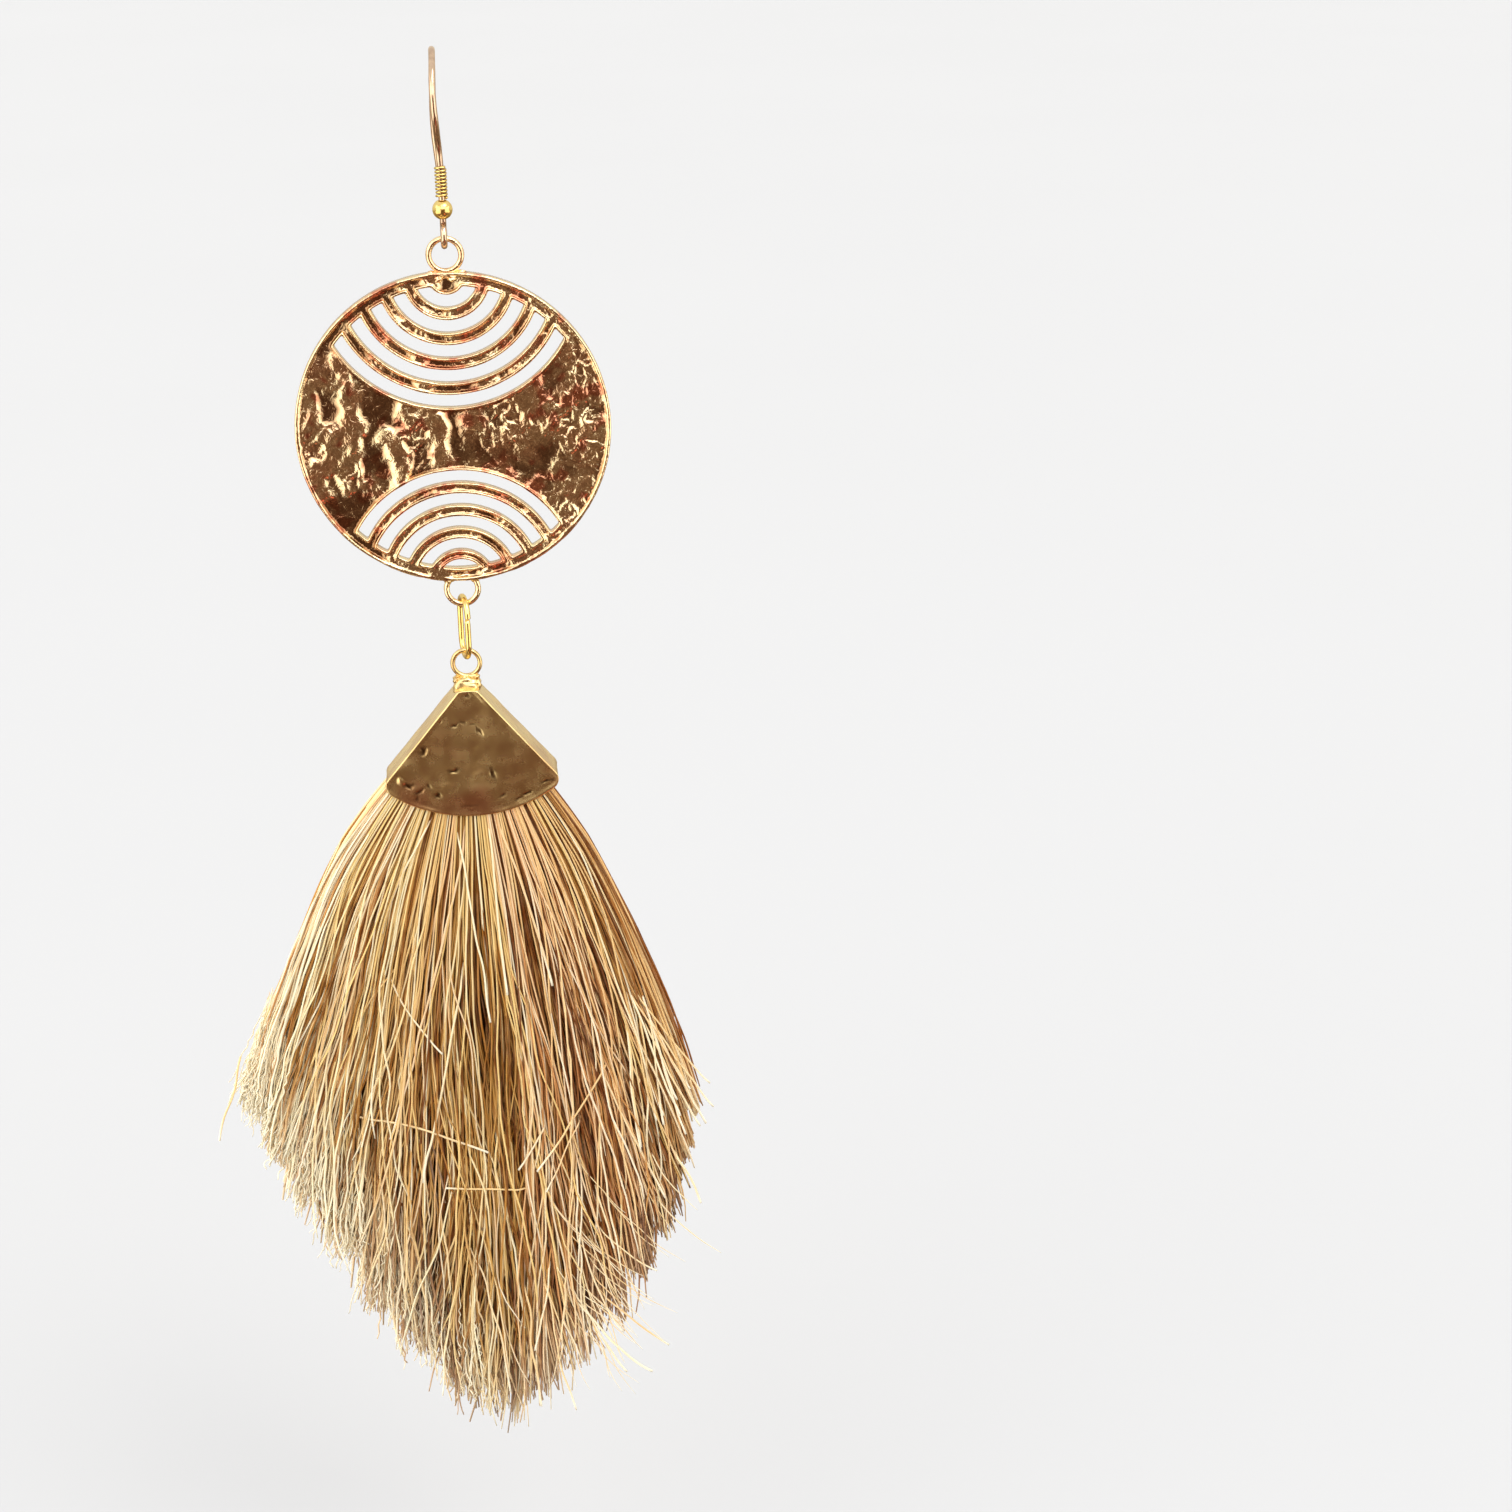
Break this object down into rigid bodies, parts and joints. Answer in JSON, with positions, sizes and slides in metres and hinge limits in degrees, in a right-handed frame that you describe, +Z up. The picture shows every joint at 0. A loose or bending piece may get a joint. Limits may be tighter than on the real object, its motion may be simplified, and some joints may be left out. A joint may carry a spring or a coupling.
{
  "type": "tassel earring",
  "caption": "Drop earring on a French hook: a pierced round disc, an oval jump ring and a fan-shaped cap with a long thread fringe.",
  "frame": {"origin": "the point on the inner side of the hook's bow, straight above the drop, where the ear carries it", "axes": "+Z up along the line on which the pieces hang, the disc faces -Y and the hook's tail is behind at +Y"},
  "size_m": [0.0513, 0.0117, 0.1546],
  "materials": {
    "wire": "polished",
    "coil": "polished",
    "bead": "polished",
    "disc": "polished, hammered",
    "link": "polished",
    "cap": "antiqued satin",
    "thread": "silky thread"
  },
  "bodies": {
    "hook": {"ear_wire": "wire", "wire_coil": "coil", "bead": "bead"},
    "medallion": {"disc": "disc"},
    "link": {"jump_ring": "link"},
    "tassel": {"tassel_cap": "cap", "fringe": "thread"}
  },
  "joints": [
    {"name": "disc_swing", "type": "hinge", "parent": "hook", "child": "medallion", "pos_m": [0, 0, -0.01741], "axis": [0, 1, 0], "range_deg": [-60, 60]},
    {"name": "link_swing", "type": "hinge", "parent": "medallion", "child": "link", "pos_m": [0, 0, -0.05395], "axis": [1, 0, 0], "range_deg": [-60, 60]},
    {"name": "tassel_swing", "type": "hinge", "parent": "link", "child": "tassel", "pos_m": [0, 0, -0.0596], "axis": [0, 1, 0], "range_deg": [-60, 60]}
  ]
}
